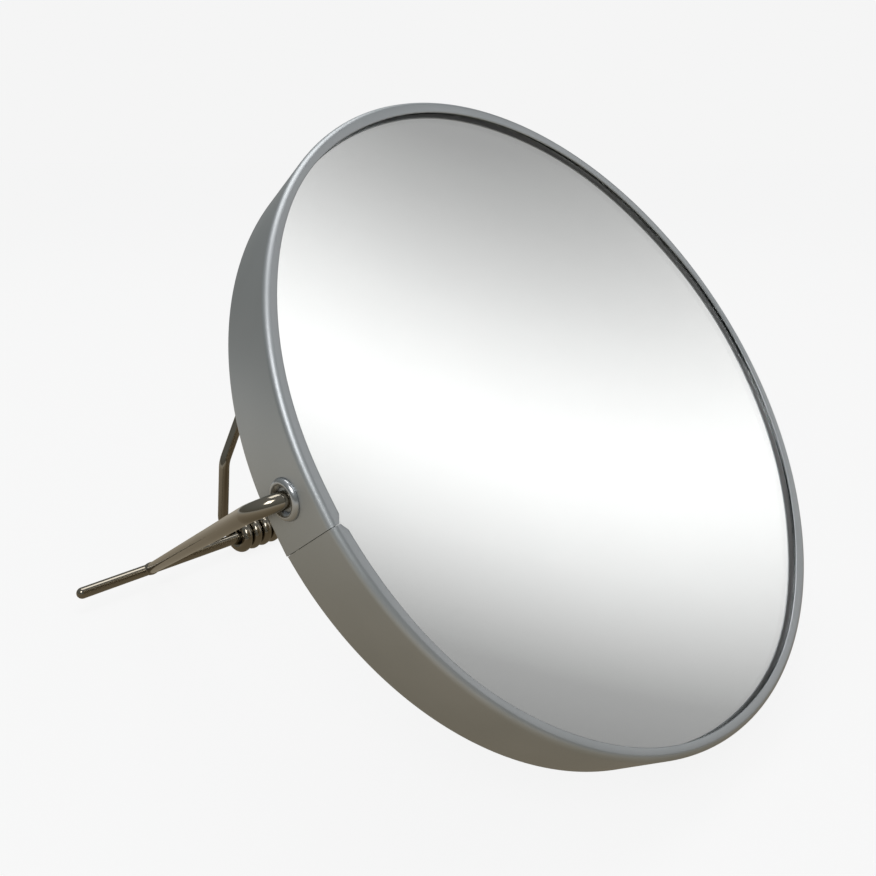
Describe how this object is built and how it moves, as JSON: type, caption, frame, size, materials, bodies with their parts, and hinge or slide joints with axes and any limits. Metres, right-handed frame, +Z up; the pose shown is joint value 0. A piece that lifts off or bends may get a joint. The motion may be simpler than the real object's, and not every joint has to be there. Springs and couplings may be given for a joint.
{
  "type": "magnifying makeup mirror",
  "caption": "Double-faced round makeup mirror in a rolled aluminium band, tilting between wire arms welded to a foot bar that carries a folding, coil-wound hanging loop.",
  "frame": {"origin": "middle of the object's box, on the table that the band's rear edge and the coils stand on", "axes": "+X along the pivots, to the right as seen by someone who looks into the magnifying face; +Y to the back, where the foot bar is; +Z up from the table"},
  "size_m": [0.2052, 0.2046, 0.1632],
  "materials": {
    "band_aluminium": "satin, rolled",
    "mirror_glass": "silvered glass",
    "backing_board": "plain grey board",
    "zinc_steel": "zinc plated",
    "eyelet_aluminium": "polished",
    "dark_nylon": "moulded",
    "wire_chrome": "bright plated"
  },
  "bodies": {
    "stand": {"stand_arm_left": "wire_chrome", "stand_arm_right": "wire_chrome", "foot_bar": "wire_chrome"},
    "mirror": {"rim_band": "band_aluminium", "magnifying_glass": "mirror_glass", "plain_glass": "mirror_glass", "magnifier_card": "backing_board", "plain_card": "backing_board", "packing_strip_upper": "backing_board", "packing_strip_lower": "backing_board", "pivot_plate_left": "zinc_steel", "pivot_plate_right": "zinc_steel", "pivot_eyelet_left": "eyelet_aluminium", "pivot_eyelet_right": "eyelet_aluminium", "pivot_bush_left": "dark_nylon", "pivot_bush_right": "dark_nylon"},
    "loop": {"hanging_loop": "wire_chrome"}
  },
  "joints": [
    {"name": "mirror_tilt", "type": "hinge", "parent": "stand", "child": "mirror", "pos_m": [0, -0.03828, 0.08159], "axis": [1, 0, 0], "continuous": true},
    {"name": "loop_swing", "type": "hinge", "parent": "stand", "child": "loop", "pos_m": [0, 0.09622, 0.0061], "axis": [1, 0, 0], "continuous": true}
  ]
}
